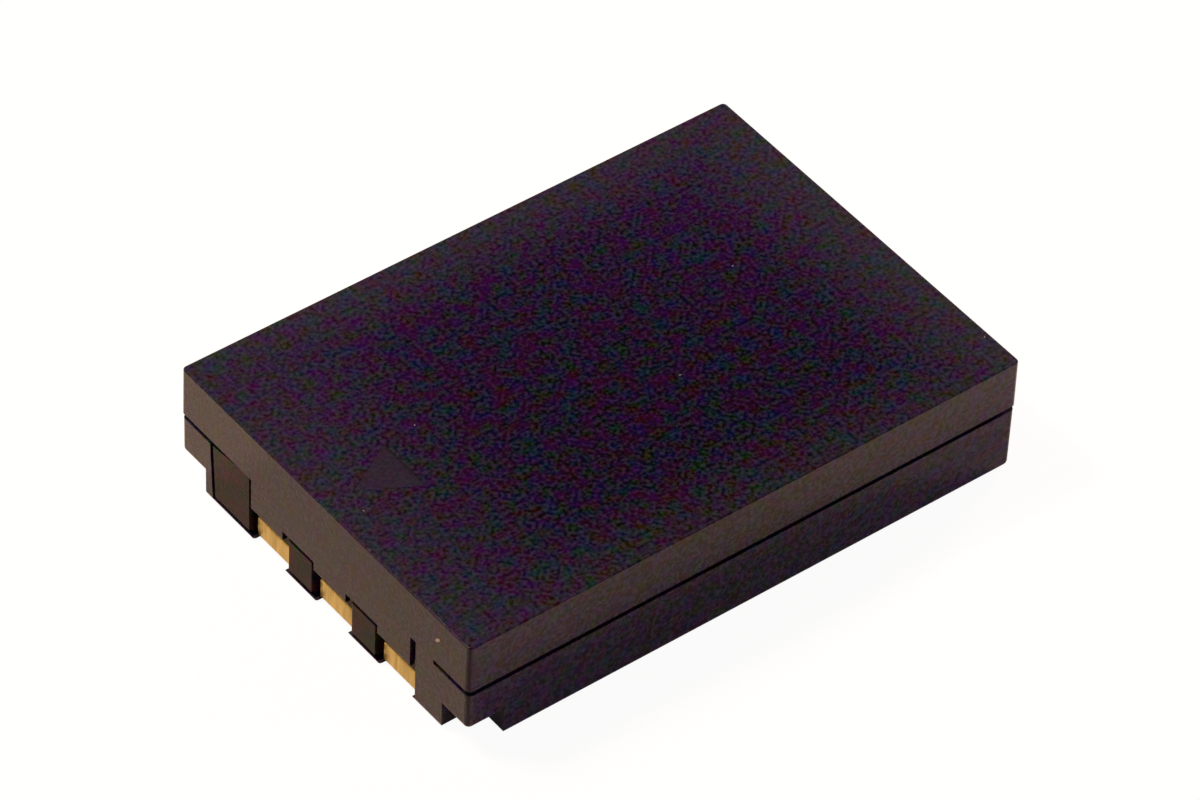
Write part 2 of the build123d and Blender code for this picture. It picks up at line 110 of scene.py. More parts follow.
def add(tree, kind, inputs=None, **settings):
    """A new node in a tree. Inputs go by name or number, and take a value or another node's output."""
    node = tree.nodes.new("ShaderNode" + kind)
    for key, value in settings.items():
        setattr(node, key, value)
    for key, value in (inputs or {}).items():
        plug(tree, node.inputs[key], value)
    return node


def calc(tree, operation, first, second=0.0):
    """One step of arithmetic, as a socket."""
    return add(tree, "Math", {0: first, 1: second}, operation=operation).outputs[0]


def move(tree, operation, first, second):
    """One step of arithmetic on three numbers at once, as a socket."""
    return add(tree, "VectorMath", {0: first, 1: second}, operation=operation).outputs["Vector"]


def remap(tree, value, low, high, to_low=0.0, to_high=1.0):
    """A value's range stretched to another, and clamped there."""
    inputs = {"Value": value, "From Min": low, "From Max": high, "To Min": to_low, "To Max": to_high}
    return add(tree, "MapRange", inputs).outputs["Result"]


print("arithmetic helpers ready")

# %% [markdown]
# ### Places and colours
# A pattern needs coordinates that can be stretched or taken apart, and a finish needs two colours
# mixed by a mask. Each is one node, so each gets a short name.

# %% Helpers for places and colours
def stretch(tree, place, scale):
    """Coordinates stretched along the axes, so that a pattern is drawn out the other way."""
    return add(tree, "Mapping", {"Vector": place, "Scale": scale}).outputs["Vector"]


def along(tree, place, axis):
    """One coordinate of a place."""
    return add(tree, "SeparateXYZ", {"Vector": place}).outputs[axis]


def blend_colour(tree, mask, first, second):
    """Two colours mixed by a mask."""
    node = add(tree, "Mix", {"Factor": mask}, data_type="RGBA")
    for number, colour in ((6, first), (7, second)):
        linked = isinstance(colour, bpy.types.NodeSocket)
        plug(tree, node.inputs[number], colour if linked else (*colour, 1.0))
    return node.outputs[2]


print("place and colour helpers ready")

# %% [markdown]
# ### A new finish
# Every finish starts from a material with its one Principled shader. These helpers make it, feed
# its sockets and put a bump on it. The pattern is read from Object coordinates, which stay with
# the piece wherever it goes.

# %% Helpers for a finish
def feed(tree, shader, **inputs):
    """Links or values for a shader's sockets, with _ for the spaces in their names."""
    for key, value in inputs.items():
        plug(tree, shader.inputs[key.replace("_", " ")], value)


def set_bump(tree, shader, height, strength, depth):
    """A height turned into a bump of that depth, in metres, on the shader's normal."""
    bump = add(tree, "Bump", {"Strength": strength, "Distance": depth, "Height": height})
    tree.links.new(bump.outputs["Normal"], shader.inputs["Normal"])


def new_finish(name):
    """A material with only its Principled shader, that shader, and the Object coordinates."""
    finish = bpy.data.materials.new(name)
    finish.use_nodes = True
    tree = finish.node_tree
    return finish, tree, tree.nodes["Principled BSDF"], add(tree, "TexCoord").outputs["Object"]


print("finish helpers ready")

# %% [markdown]
# ## Node groups
# An effect that several finishes share is built once, as a node group with named inputs and
# outputs, and each finish places it with its own values. These two helpers make an empty group
# and place one.

# %% Helpers for node groups
def new_group(name, inputs, outputs):
    """An empty shader node group: a vector input, float inputs, and outputs given as name and kind."""
    tree = bpy.data.node_groups.new(name, "ShaderNodeTree")
    tree.interface.new_socket("Vector", in_out="INPUT", socket_type="NodeSocketVector")
    for label in inputs:
        tree.interface.new_socket(label, in_out="INPUT", socket_type="NodeSocketFloat")
    for label, kind in outputs.items():
        tree.interface.new_socket(label, in_out="OUTPUT", socket_type="NodeSocket" + kind)
    return tree, tree.nodes.new("NodeGroupInput").outputs, tree.nodes.new("NodeGroupOutput").inputs


def use_group(tree, group, **inputs):
    """A shared group placed in a material, with that material's own values."""
    node = add(tree, "Group", node_tree=group)
    feed(tree, node, **inputs)
    return node.outputs


print("group helpers ready")

# %% [markdown]
# ## Grain of a mould
# A steel mould is eaten rough by sparks, and the plastic takes over that fine matt grain. Up
# close each tiny facet catches another light, so the black breaks up into fine light and dark
# specks, and into broader blots of violet, red and blue. One noise for all would only give light
# and dark. The Colour output of a second, coarser noise has channels that differ, so two of them
# shift red and blue. Green goes against both, so that a blot changes hue and not brightness.

# %% Group for moulded grain
BLOT_SCALE = 0.30  # of the grain's fineness
GRAIN_SHARE = 0.7  # of the height, and pits make up the rest
GRAIN_RANGE = (0.28, 0.72)  # of the noise, from darkest to lightest
GREEN_AGAINST_RED = -0.67
GREEN_AGAINST_BLUE = -0.33

grain_group, given, made = new_group(
    "moulded_grain", ["Fineness"], {"Height": "Float", "Tone": "Float", "Speckle": "Color"}
)
fine = add(grain_group, "TexNoise", {"Vector": given["Vector"], "Scale": given["Fineness"], "Detail": 1.0})
blot_scale = calc(grain_group, "MULTIPLY", given["Fineness"], BLOT_SCALE)
blots = add(grain_group, "TexNoise", {"Vector": given["Vector"], "Scale": blot_scale, "Detail": 1.0})
pits = add(grain_group, "TexVoronoi", {"Vector": given["Vector"], "Scale": given["Fineness"]})
raised = calc(grain_group, "MULTIPLY", fine.outputs["Fac"], GRAIN_SHARE)
sunk = calc(grain_group, "MULTIPLY", pits.outputs["Distance"], 1 - GRAIN_SHARE)
grain_group.links.new(calc(grain_group, "ADD", raised, sunk), made["Height"])
grain_group.links.new(remap(grain_group, fine.outputs["Fac"], *GRAIN_RANGE), made["Tone"])
shifts = move(grain_group, "SUBTRACT", blots.outputs["Color"], (0.5, 0.5, 0.5))
red = along(grain_group, shifts, "X")
blue = along(grain_group, shifts, "Y")
less_for_red = calc(grain_group, "MULTIPLY", red, GREEN_AGAINST_RED)
less_for_blue = calc(grain_group, "MULTIPLY", blue, GREEN_AGAINST_BLUE)
against = calc(grain_group, "ADD", less_for_red, less_for_blue)
speckle = add(grain_group, "CombineXYZ", {"X": red, "Y": against, "Z": blue}).outputs[0]
grain_group.links.new(speckle, made["Speckle"])
print("group", grain_group.name, "with", len(grain_group.nodes), "nodes")

# %% [markdown]
# ## Streaks of rolled metal
# Metal that was rolled, drawn or wiped has long faint lines. They are a noise on coordinates that
# the finish has stretched, with a broader noise under it for the cloudy stains. A picture of
# brushed metal would need a flat layout of every face, and a noise needs none.

# %% Group for metal streaks
CLOUD_SCALE = 0.2  # of the lines' fineness
STREAK_RANGE = (0.35, 0.65)  # of either noise, from darkest to lightest
LINE_SHARE = 0.6  # of the tone, and clouds make up the rest

streak_group, given, made = new_group("metal_streaks", ["Fineness"], {"Height": "Float", "Tone": "Float"})
line_inputs = {"Vector": given["Vector"], "Scale": given["Fineness"], "Detail": 4.0}
long_lines = add(streak_group, "TexNoise", line_inputs)
cloud_scale = calc(streak_group, "MULTIPLY", given["Fineness"], CLOUD_SCALE)
clouds = add(streak_group, "TexNoise", {"Vector": given["Vector"], "Scale": cloud_scale, "Detail": 2.0})
streak_group.links.new(long_lines.outputs["Fac"], made["Height"])
line_tone = remap(streak_group, long_lines.outputs["Fac"], *STREAK_RANGE, 0.0, LINE_SHARE)
cloud_tone = remap(streak_group, clouds.outputs["Fac"], *STREAK_RANGE, 0.0, 1 - LINE_SHARE)
streak_group.links.new(calc(streak_group, "ADD", line_tone, cloud_tone), made["Tone"])
print("group", streak_group.name, "with", len(streak_group.nodes), "nodes")

# %% [markdown]
# ## Fibres of paper and tissue
# The insulating sheet and the tapes are felted from short fibres. Two noises, each drawn out
# along another axis, lie over each other like crossing fibres. A third, along the last axis,
# serves a sheet that stands upright.

# %% Group for felted fibres
FIBRE_STRETCH = ((1.0, 0.12, 0.12), (0.12, 1.0, 0.12), (0.12, 0.12, 1.0))
FELT_RANGE = (0.48, 0.72)  # of the noise, from darkest to lightest

fibre_group, given, made = new_group("felted_fibres", ["Fineness"], {"Height": "Float", "Tone": "Float"})
fibres = []
for scale in FIBRE_STRETCH:
    drawn_out = stretch(fibre_group, given["Vector"], scale)
    noise = add(fibre_group, "TexNoise", {"Vector": drawn_out, "Scale": given["Fineness"], "Detail": 2.0})
    fibres.append(noise.outputs["Fac"])
felt = calc(fibre_group, "MAXIMUM", calc(fibre_group, "MAXIMUM", fibres[0], fibres[1]), fibres[2])
fibre_group.links.new(felt, made["Height"])
fibre_group.links.new(remap(fibre_group, felt, *FELT_RANGE), made["Tone"])
print("group", fibre_group.name, "with", len(fibre_group.nodes), "nodes")

# %% [markdown]
# ## Places on a piece
# A separate material for the arrow's floor, a chip's metal ends or a speck of dust would need
# faces picked out of the CAD mesh. A mask on Object coordinates finds the same place without
# touching it: a box, a band on either side of a middle, or a small ellipsoid.

# %% Masks by place
def beyond(tree, value, middle, reach):
    """1 where a value lies further from a middle than a reach, 0 nearer."""
    away = calc(tree, "ABSOLUTE", calc(tree, "SUBTRACT", value, middle))
    return calc(tree, "GREATER_THAN", away, reach)


def box_mask(tree, place, low, high):
    """1 inside a box of Object coordinates, 0 outside."""
    outside = 0.0
    for axis, start, end in zip("XYZ", low, high):
        middle = (start + end) / 2
        reach = (end - start) / 2
        outside = calc(tree, "MAXIMUM", beyond(tree, along(tree, place, axis), middle, reach), outside)
    return calc(tree, "SUBTRACT", 1.0, outside)


def speck_mask(tree, place, centre, reach, turns):
    """1 inside a small ellipsoid with its turns about the three axes, 0 outside."""
    inputs = {"Vector": place, "Location": centre, "Rotation": turns, "Scale": reach}
    inside = add(tree, "Mapping", inputs, vector_type="TEXTURE").outputs["Vector"]
    length = add(tree, "VectorMath", {0: inside}, operation="LENGTH").outputs["Value"]
    return calc(tree, "LESS_THAN", length, 1.0)


print("masks ready")

# %% [markdown]
# ## The two cases
# The shells are black plastic with a fine matt grain, and in the light the black leans to violet.
# It is darkest in the middle of the top, towards the long side that is in view, and greyer along
# the edges, most of all on the left and at the far end. Both are painted light: a painted shade in
# the middle and painted light along the edges, for the way the light falls across the top. One
# colour all over would miss that, and a painted picture of it would need a flat layout of every
# face. So the painted shade follows a soft oval on Object coordinates, and the painted light on
# the edges is ramps along X and Y.

# %% Black ground of the cases
CASE_BLACK = (0.0104, 0.0048, 0.0236)
CASE_PAINTED_LIGHT = (0.0066, 0.0112, 0.0024)  # what the painted light on the edges adds
PAINTED_SHADE_MIDDLE = Vector((0.0, -8.0, 0.0)) * MM
PAINTED_SHADE_REACH = Vector((20.0, 21.0, 1000.0)) * MM
PAINTED_SHADE_FADE = 1.3  # where the oval ends, in squares of its reach
PAINTED_SHADE_SHARES = (0.66, 1.15)  # of the black, in the oval's middle and past its end
PAINTED_LIGHT_EDGES = (  # axis, where it starts and is fullest in millimetres, and how strong it gets
    ("X", 15.0, 23.5, 1.0),
    ("X", -10.0, -23.0, 0.60),
    ("Y", 10.2, 17.2, 1.0),
    ("Y", -10.0, -16.0, 0.6),
)
PAINTED_LIGHT_ON_SIDES = 0.5  # how much of the painted light the sides get
TOP = cad_box[1][2]
TOP_RIM = 0.3 * MM  # how far down the rim of the top reaches

case_plastic, tree, shader, place = new_finish("case_plastic_grained")
# Painted shade: the black is darker in a soft oval in the middle of the top, towards the near long side.
from_middle = move(tree, "DIVIDE", move(tree, "SUBTRACT", place, PAINTED_SHADE_MIDDLE), PAINTED_SHADE_REACH)
squares = add(tree, "VectorMath", {0: from_middle, 1: from_middle}, operation="DOT_PRODUCT")
oval = remap(tree, squares.outputs["Value"], 0.0, PAINTED_SHADE_FADE, *PAINTED_SHADE_SHARES)
ground = move(tree, "MULTIPLY", CASE_BLACK, oval)
# Painted light: the black is paler along the edges of the top, most on the left and at the far end.
painted_light = 0.0
for axis, start, fullest, share in PAINTED_LIGHT_EDGES:
    ramp = remap(tree, along(tree, place, axis), start * MM, fullest * MM, 0.0, share)
    painted_light = calc(tree, "MAXIMUM", ramp, painted_light)
on_top = remap(tree, along(tree, place, "Z"), TOP - TOP_RIM, TOP, PAINTED_LIGHT_ON_SIDES, 1.0)
painted_light = calc(tree, "MULTIPLY", painted_light, on_top)
ground = move(tree, "ADD", ground, move(tree, "MULTIPLY", CASE_PAINTED_LIGHT, painted_light))
print("black ground with", len(PAINTED_LIGHT_EDGES), "rubbed edges")

# %% [markdown]
# ### Grain on the black
# The shared grain lies over the ground: light and dark specks, and the coloured blots. Mixing two
# fixed colours by the grain would hide the ground. So the grain is added to it, and a lowest
# black keeps every channel above zero.

# %% Grain of the cases
GRAIN_FINENESS = 3300.0  # per metre
CASE_TONE = (0.0180, 0.0165, 0.0340)  # between dark and light grain
CASE_SPECKLE = (0.026, 0.032, 0.066)  # of the coloured blots
BLACKEST = (0.001, 0.001, 0.001)


def grained_black(tree, grain, ground, tone, speckle):
    """A dark ground with light and dark grain and coloured blots on it."""
    light_dark = move(tree, "MULTIPLY", tone, calc(tree, "SUBTRACT", grain["Tone"], 0.5))
    coloured = move(tree, "MULTIPLY", grain["Speckle"], speckle)
    summed = move(tree, "ADD", move(tree, "ADD", ground, light_dark), coloured)
    return move(tree, "MAXIMUM", summed, BLACKEST)


grain = use_group(tree, grain_group, Vector=place, Fineness=GRAIN_FINENESS)
black = grained_black(tree, grain, ground, CASE_TONE, CASE_SPECKLE)
print("grain of", GRAIN_FINENESS, "per metre")

# %% [markdown]
# ### Arrow and upright edges
# The arrow was cut smoother into the mould, so its floor is even and a little paler. The rounded
# upright edges get painted shade: they are coloured blacker than the faces on either side, for
# the dark line the light leaves there. Both are found by their place, so the CAD mesh needs no cut.

# %% Arrow and upright edges
ARROW_COLOUR = (0.0180, 0.0134, 0.0268)
ARROW_EVENNESS = 0.65  # how far the arrow's floor hides the grain
ARROW_LOW = Vector((-20.7, -2.6, 9.60)) * MM
ARROW_HIGH = Vector((-16.1, 2.6, 9.68)) * MM
EDGE_PAINTED_SHADE = (0.0050, 0.0010, 0.0160)
EDGE_ROUND = 0.22 * MM
EDGE_STARTS = (cad_box[1][0] - EDGE_ROUND, cad_box[1][1] - EDGE_ROUND)

arrow = box_mask(tree, place, ARROW_LOW, ARROW_HIGH)
black = blend_colour(tree, calc(tree, "MULTIPLY", arrow, ARROW_EVENNESS), black, ARROW_COLOUR)
# Painted shade: the rounded upright edges are coloured blacker than the faces beside them.
at_ends = beyond(tree, along(tree, place, "X"), 0.0, EDGE_STARTS[0])
at_sides = beyond(tree, along(tree, place, "Y"), 0.0, EDGE_STARTS[1])
black = blend_colour(tree, calc(tree, "MULTIPLY", at_ends, at_sides), black, EDGE_PAINTED_SHADE)
print("arrow box in mm:", [round(value / MM, 2) for value in ARROW_HIGH - ARROW_LOW])

# %% [markdown]
# ### Dust
# A few specks of dust lie on the top, and the brightest hangs on the contact end. Crumbs with a
# thickness would be pieces of their own. These are too thin for that, so each is a small
# ellipsoid of a paler colour in the finish.

# %% Dust on the cases
DUST_COLOUR = (0.24, 0.20, 0.20)
EDGE_SPECK = Vector((-22.98, -12.6, 7.8)) * MM
EDGE_SPECK_REACH = Vector((0.25, 0.13, 0.30)) * MM
EDGE_SPECK_LEAN = 0.7  # radians
TOP_DUST_COLOUR = (0.10, 0.09, 0.12)
TOP_SPECKS = ((13.07, 2.52), (-13.60, 2.61), (-21.04, -1.87), (3.60, -3.80), (22.52, -12.76))
SPECK_REACH = Vector((0.10, 0.05, 0.10)) * MM

hanging = speck_mask(tree, place, EDGE_SPECK, EDGE_SPECK_REACH, (EDGE_SPECK_LEAN, 0.0, 0.0))
black = blend_colour(tree, hanging, black, DUST_COLOUR)
for number, (x, y) in enumerate(TOP_SPECKS):
    centre = Vector((x * MM, y * MM, TOP))
    lying = speck_mask(tree, place, centre, SPECK_REACH, (0.0, 0.0, number))
    black = blend_colour(tree, lying, black, TOP_DUST_COLOUR)
print("specks of dust:", len(TOP_SPECKS) + 1)

# %% [markdown]
# ### Gloss of the cases
# Light grain is a little smoother than dark grain. The rim of the top is worn smoother still, so
# it shows a lamp as a thin line and not as a pale band. The gloss level is the same all over, so
# it is set on the shader itself.

# %% Gloss of the cases
CASE_ROUGH = (0.25, 0.19)  # of dark and light grain
WORN_SMOOTHER = 0.10  # what the worn rim loses in roughness
FLAT_TOP = 0.01 * MM  # how far down the top still counts as flat
WIDE = 1.0  # metres, well past the pack on every side

worn = box_mask(tree, place, (-WIDE, -WIDE, TOP - TOP_RIM), (WIDE, WIDE, TOP - FLAT_TOP))
smoother = calc(tree, "MULTIPLY", worn, WORN_SMOOTHER)
grained = remap(tree, grain["Tone"], 0.0, 1.0, *CASE_ROUGH)
feed(
    tree,
    shader,
    Base_Color=black,
    Roughness=calc(tree, "SUBTRACT", grained, smoother),
    Specular_IOR_Level=0.13,
)
set_bump(tree, shader, grain["Height"], strength=0.4, depth=0.03 * MM)
print("finish", case_plastic.name, "with", len(tree.nodes), "nodes")

# %% [markdown]
# ## The terminal block
# The block between the contacts is a piece of its own, moulded in a plainer plastic that stands
# up to soldering. It could share the finish of the cases, but in the light it is darker and less
# glossy. So it gets the same grain, finer and with less colour in it, on a lower gloss level.

# %% Finish of the terminal block
BLOCK_FINENESS = 4000.0  # per metre
BLOCK_BLACK = (0.0085, 0.0038, 0.0075)
BLOCK_TONE = (0.0100, 0.0070, 0.0100)
BLOCK_SPECKLE = (0.060, 0.030, 0.060)
BLOCK_ROUGH = (0.36, 0.30)  # of dark and light grain

block_plastic, tree, shader, place = new_finish("block_plastic_dark")
grain = use_group(tree, grain_group, Vector=place, Fineness=BLOCK_FINENESS)
feed(
    tree,
    shader,
    Base_Color=grained_black(tree, grain, BLOCK_BLACK, BLOCK_TONE, BLOCK_SPECKLE),
    Roughness=remap(tree, grain["Tone"], 0.0, 1.0, *BLOCK_ROUGH),
    Specular_IOR_Level=0.06,
)
set_bump(tree, shader, grain["Height"], strength=0.5, depth=0.03 * MM)
print("finish", block_plastic.name, "with", len(tree.nodes), "nodes")

# %% [markdown]
# ## Gold contacts
# The contacts are strips of copper alloy with a thin gold plating. Each time the pack goes into a
# camera or a charger, a spring wipes along them, and leaves fine upright lines and duller
# patches. One gold all over would look like foil. The streak group on coordinates squeezed along
# the upright gives the lines and the patches at once.

# %% Finish of the contacts
GOLD_FINENESS = 5000.0  # per metre
GOLD_DULL = (0.28, 0.215, 0.070)
GOLD_WIPED = (0.50, 0.395, 0.165)
GOLD_ROUGH = (0.42, 0.28)  # where dull and where wiped
WIPED_UPRIGHT = (1.0, 1.0, 0.08)

gold_plate, tree, shader, place = new_finish("gold_plating_wiped")
wiped = stretch(tree, place, WIPED_UPRIGHT)
streaks = use_group(tree, streak_group, Vector=wiped, Fineness=GOLD_FINENESS)
feed(
    tree,
    shader,
    Base_Color=blend_colour(tree, streaks["Tone"], GOLD_DULL, GOLD_WIPED),
    Roughness=remap(tree, streaks["Tone"], 0.0, 1.0, *GOLD_ROUGH),
    Metallic=1.0,
)
set_bump(tree, shader, streaks["Height"], strength=0.15, depth=0.01 * MM)
print("finish", gold_plate.name, "with", len(tree.nodes), "nodes")

# %% [markdown]
# ## The board
# Behind the block stands the protection board: glass fibre under green lacquer, with copper
# tracks that show as paler raised lines. A brick pattern with thin joints makes a good maze of
# tracks. The lacquer is only on the two large faces, so the rim shows the straw-coloured glass in
# layers.

# %% Finish of the board
LACQUER_SKIN = 0.05 * MM
LACQUER_GREEN = (0.012, 0.085, 0.030)
TRACK_GREEN = (0.030, 0.160, 0.055)
GLASS_DARK = (0.30, 0.27, 0.13)
GLASS_PALE = (0.50, 0.46, 0.26)
GLASS_ROUGH = 0.7
LACQUER_ROUGH = 0.28
GLASS_LAYERS = (1.0, 0.06, 0.06)
GRAIN_LIFT = 0.2  # of the tracks' height

board_lacquer, tree, shader, place = new_finish("board_lacquer_green")
low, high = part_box("circuit_board")
core_half = (high[0] - low[0]) / 2 - LACQUER_SKIN
on_face = beyond(tree, along(tree, place, "X"), (low[0] + high[0]) / 2, core_half)
turned = add(tree, "CombineXYZ", {"X": along(tree, place, "Y"), "Y": along(tree, place, "Z")}).outputs[0]
track_inputs = {"Vector": turned, "Scale": 900.0, "Mortar Size": 0.09, "Brick Width": 1.7, "Row Height": 0.6}
tracks = add(tree, "TexBrick", track_inputs, offset=0.37, squash=1.4).outputs["Fac"]
grain = use_group(tree, grain_group, Vector=place, Fineness=3000.0)
layers = use_group(tree, streak_group, Vector=stretch(tree, place, GLASS_LAYERS), Fineness=9000.0)
lacquer = blend_colour(tree, tracks, LACQUER_GREEN, TRACK_GREEN)
glass = blend_colour(tree, layers["Tone"], GLASS_DARK, GLASS_PALE)
feed(
    tree,
    shader,
    Base_Color=blend_colour(tree, on_face, glass, lacquer),
    Roughness=remap(tree, on_face, 0.0, 1.0, GLASS_ROUGH, LACQUER_ROUGH),
)
raised = calc(tree, "MULTIPLY", tracks, on_face)
grained = calc(tree, "MULTIPLY", grain["Height"], GRAIN_LIFT)
set_bump(tree, shader, calc(tree, "ADD", raised, grained), strength=0.5, depth=0.03 * MM)
print("finish", board_lacquer.name, "with", len(tree.nodes), "nodes")

# %% [markdown]
# ## Parts on the board
# Two six-lead packages have a body of black epoxy and tinned leads above and below it. The small
# chips are ceramic with a tinned cap at each end. Both are one solid each, so the metal is a
# mask: whatever lies further from the middle than the body reaches.

# %% Finishes of the parts on the board
PACKAGE_HALF = 0.8 * MM
CHIP_BODY_HALF = 0.5 * MM
TIN = (0.62, 0.61, 0.58)
TIN_BRIGHT = (0.74, 0.73, 0.70)
TIN_ROUGH = (0.42, 0.30)  # where dull and where bright
CHIP_FINENESS = 9000.0  # per metre


def tinned_finish(name, node, body_half, first, second, body_rough):
    """A body of two close colours, with tin where a part reaches past its body."""
    finish, tree, shader, place = new_finish(name)
    low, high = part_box(node)
    metal = beyond(tree, along(tree, place, "Z"), (low[2] + high[2]) / 2, body_half)
    grain = use_group(tree, grain_group, Vector=place, Fineness=CHIP_FINENESS)
    dull = remap(tree, grain["Tone"], 0.0, 1.0, *TIN_ROUGH)
    body = blend_colour(tree, grain["Tone"], first, second)
    tin = blend_colour(tree, grain["Tone"], TIN, TIN_BRIGHT)
    feed(
        tree,
        shader,
        Base_Color=blend_colour(tree, metal, body, tin),
        Roughness=calc(tree, "MAXIMUM", dull, remap(tree, metal, 0.0, 1.0, body_rough, 0.0)),
        Metallic=metal,
    )
    set_bump(tree, shader, grain["Height"], strength=0.2, depth=0.01 * MM)
    print("finish", finish.name, "with", len(tree.nodes), "nodes")
    return finish


package_epoxy = tinned_finish(
    "package_epoxy_black",
    "protection_ic",
    PACKAGE_HALF,
    first=(0.012, 0.012, 0.013),
    second=(0.028, 0.027, 0.026),
    body_rough=0.6,
)
resistor_glaze = tinned_finish(
    "resistor_glaze_black",
    "chip_resistors",
    CHIP_BODY_HALF,
    first=(0.010, 0.011, 0.016),
    second=(0.024, 0.025, 0.032),
    body_rough=0.3,
)
capacitor_ceramic = tinned_finish(
    "capacitor_ceramic_tan",
    "chip_capacitors",
    CHIP_BODY_HALF,
    first=(0.30, 0.19, 0.11),
    second=(0.42, 0.29, 0.18),
    body_rough=0.45,
)
thermistor_ceramic = tinned_finish(
    "thermistor_ceramic_grey",
    "thermistor",
    CHIP_BODY_HALF,
    first=(0.06, 0.07, 0.065),
    second=(0.12, 0.13, 0.12),
    body_rough=0.5,
)

# %% [markdown]
# ## The cell and its metal
# The cell sits in a can drawn from aluminium, with faint lines along the pull. Its tabs, the
# plate and the rivet are rolled nickel, warmer and a little brighter. Both are the streak group
# on coordinates stretched along the line of the work.

# %% Finishes of drawn and rolled metal
def worked_metal(name, drawn, fineness, first, second, smooth, dull):
    """A bare metal with streaks along the way it was drawn or rolled."""
    finish, tree, shader, place = new_finish(name)
    streaks = use_group(tree, streak_group, Vector=stretch(tree, place, drawn), Fineness=fineness)
    feed(
        tree,
        shader,
        Base_Color=blend_colour(tree, streaks["Tone"], first, second),
        Roughness=remap(tree, streaks["Tone"], 0.0, 1.0, dull, smooth),
        Metallic=1.0,
    )
    set_bump(tree, shader, streaks["Height"], strength=0.2, depth=0.01 * MM)
    print("finish", finish.name, "with", len(tree.nodes), "nodes")
    return finish


can_aluminium = worked_metal(
    "can_aluminium_drawn",
    drawn=(0.05, 1.0, 1.0),
    fineness=2500.0,
    first=(0.66, 0.66, 0.68),
    second=(0.82, 0.82, 0.83),
    smooth=0.28,
    dull=0.42,
)
rolled_nickel = worked_metal(
    "nickel_strip_rolled",
    drawn=(1.0, 0.06, 1.0),
    fineness=6000.0,
    first=(0.50, 0.48, 0.43),
    second=(0.66, 0.64, 0.59),
    smooth=0.24,
    dull=0.38,
)

# %% [markdown]
# ## Seals, sheet, tapes and fuse
# What is left is soft or plain: the gasket under the rivet and the fuse are moulded polymer, so
# they take the grain. The sheet on the lid and the tapes are felted, so they take the fibres.

# %% Finishes of moulded polymer
def moulded_polymer(name, fineness, first, second, smooth, dull):
    """A plain polymer with grain from its mould."""
    finish, tree, shader, place = new_finish(name)
    grain = use_group(tree, grain_group, Vector=place, Fineness=fineness)
    feed(
        tree,
        shader,
        Base_Color=blend_colour(tree, grain["Tone"], first, second),
        Roughness=remap(tree, grain["Tone"], 0.0, 1.0, dull, smooth),
    )
    set_bump(tree, shader, grain["Height"], strength=0.2, depth=0.015 * MM)
    print("finish", finish.name, "with", len(tree.nodes), "nodes")
    return finish


gasket_polymer = moulded_polymer(
    "gasket_polymer_dark",
    fineness=6000.0,
    first=(0.036, 0.036, 0.038),
    second=(0.062, 0.062, 0.064),
    smooth=0.32,
    dull=0.42,
)
fuse_polymer = moulded_polymer(
    "fuse_polymer_grey",
    fineness=5000.0,
    first=(0.070, 0.072, 0.080),
    second=(0.125, 0.125, 0.130),
    smooth=0.34,
    dull=0.46,
)


# %% Finishes of felted sheet
FELT_ROUGH = (0.88, 0.74)  # between the fibres and on them


def felted_sheet(name, fineness, first, second):
    """A matt sheet of short fibres."""
    finish, tree, shader, place = new_finish(name)
    felt = use_group(tree, fibre_group, Vector=place, Fineness=fineness)
    feed(
        tree,
        shader,
        Base_Color=blend_colour(tree, felt["Tone"], first, second),
        Roughness=remap(tree, felt["Tone"], 0.0, 1.0, *FELT_ROUGH),
    )
    set_bump(tree, shader, felt["Height"], strength=0.4, depth=0.03 * MM)
    print("finish", finish.name, "with", len(tree.nodes), "nodes")
    return finish


insulating_sheet = felted_sheet(
    "insulating_sheet_straw", fineness=5000.0, first=(0.58, 0.50, 0.34), second=(0.80, 0.74, 0.58)
)
tissue_tape = felted_sheet(
    "tissue_tape_white", fineness=3600.0, first=(0.72, 0.71, 0.66), second=(0.88, 0.87, 0.83)
)

# %% [markdown]
# ## Each piece and its finish
# A piece could have several slots, with faces picked out for each. The masks make that needless,
# so a CAD piece keeps its mesh and gets its finish in one slot.

# %% Put the finishes on the pieces
finish_of = {
    "upper_case": case_plastic,
    "lower_case": case_plastic,
    "terminal_block": block_plastic,
    "contact_positive": gold_plate,
    "contact_thermistor": gold_plate,
    "contact_negative": gold_plate,
    "circuit_board": board_lacquer,
    "protection_ic": package_epoxy,
    "mosfet_pair": package_epoxy,
    "chip_resistors": resistor_glaze,
    "chip_capacitors": capacitor_ceramic,
    "thermistor": thermistor_ceramic,
    "cell": can_aluminium,
    "negative_rivet": rolled_nickel,
    "positive_plate": rolled_nickel,
    "positive_tab": rolled_nickel,
    "ptc_tab": rolled_nickel,
    "negative_tab": rolled_nickel,
    "rivet_gasket": gasket_polymer,
    "ptc_chip": fuse_polymer,
    "header_insulator": insulating_sheet,
    "lower_tape": tissue_tape,
    "upper_tape": tissue_tape,
}
for name, finish in finish_of.items():
    slots = nodes[name].data.materials
    slots.clear()
    slots.append(finish)
print("finished pieces:", len(finish_of), "of", len(nodes))

# %% [markdown]
# ## Floor and surroundings
# The picture was taken on white, with hardly a shadow. A white floor alone would need so much
# light that the pack would wash out. So the floor is an ordinary white surface that takes the
# shadow, and for rays that come straight from the camera it is mostly a plain white glow. A
# mirror-like bounce sees part of that glow and part of the real floor, because the black sides
# owe their shading to the floor and the shadow that they mirror. The light that falls on the pack
# doesn't change with either.

# %% Floor
FLOOR_SIZE = 3.0  # metres
FLOOR_DROP = 0.02 * MM  # keeps the floor clear of the underside

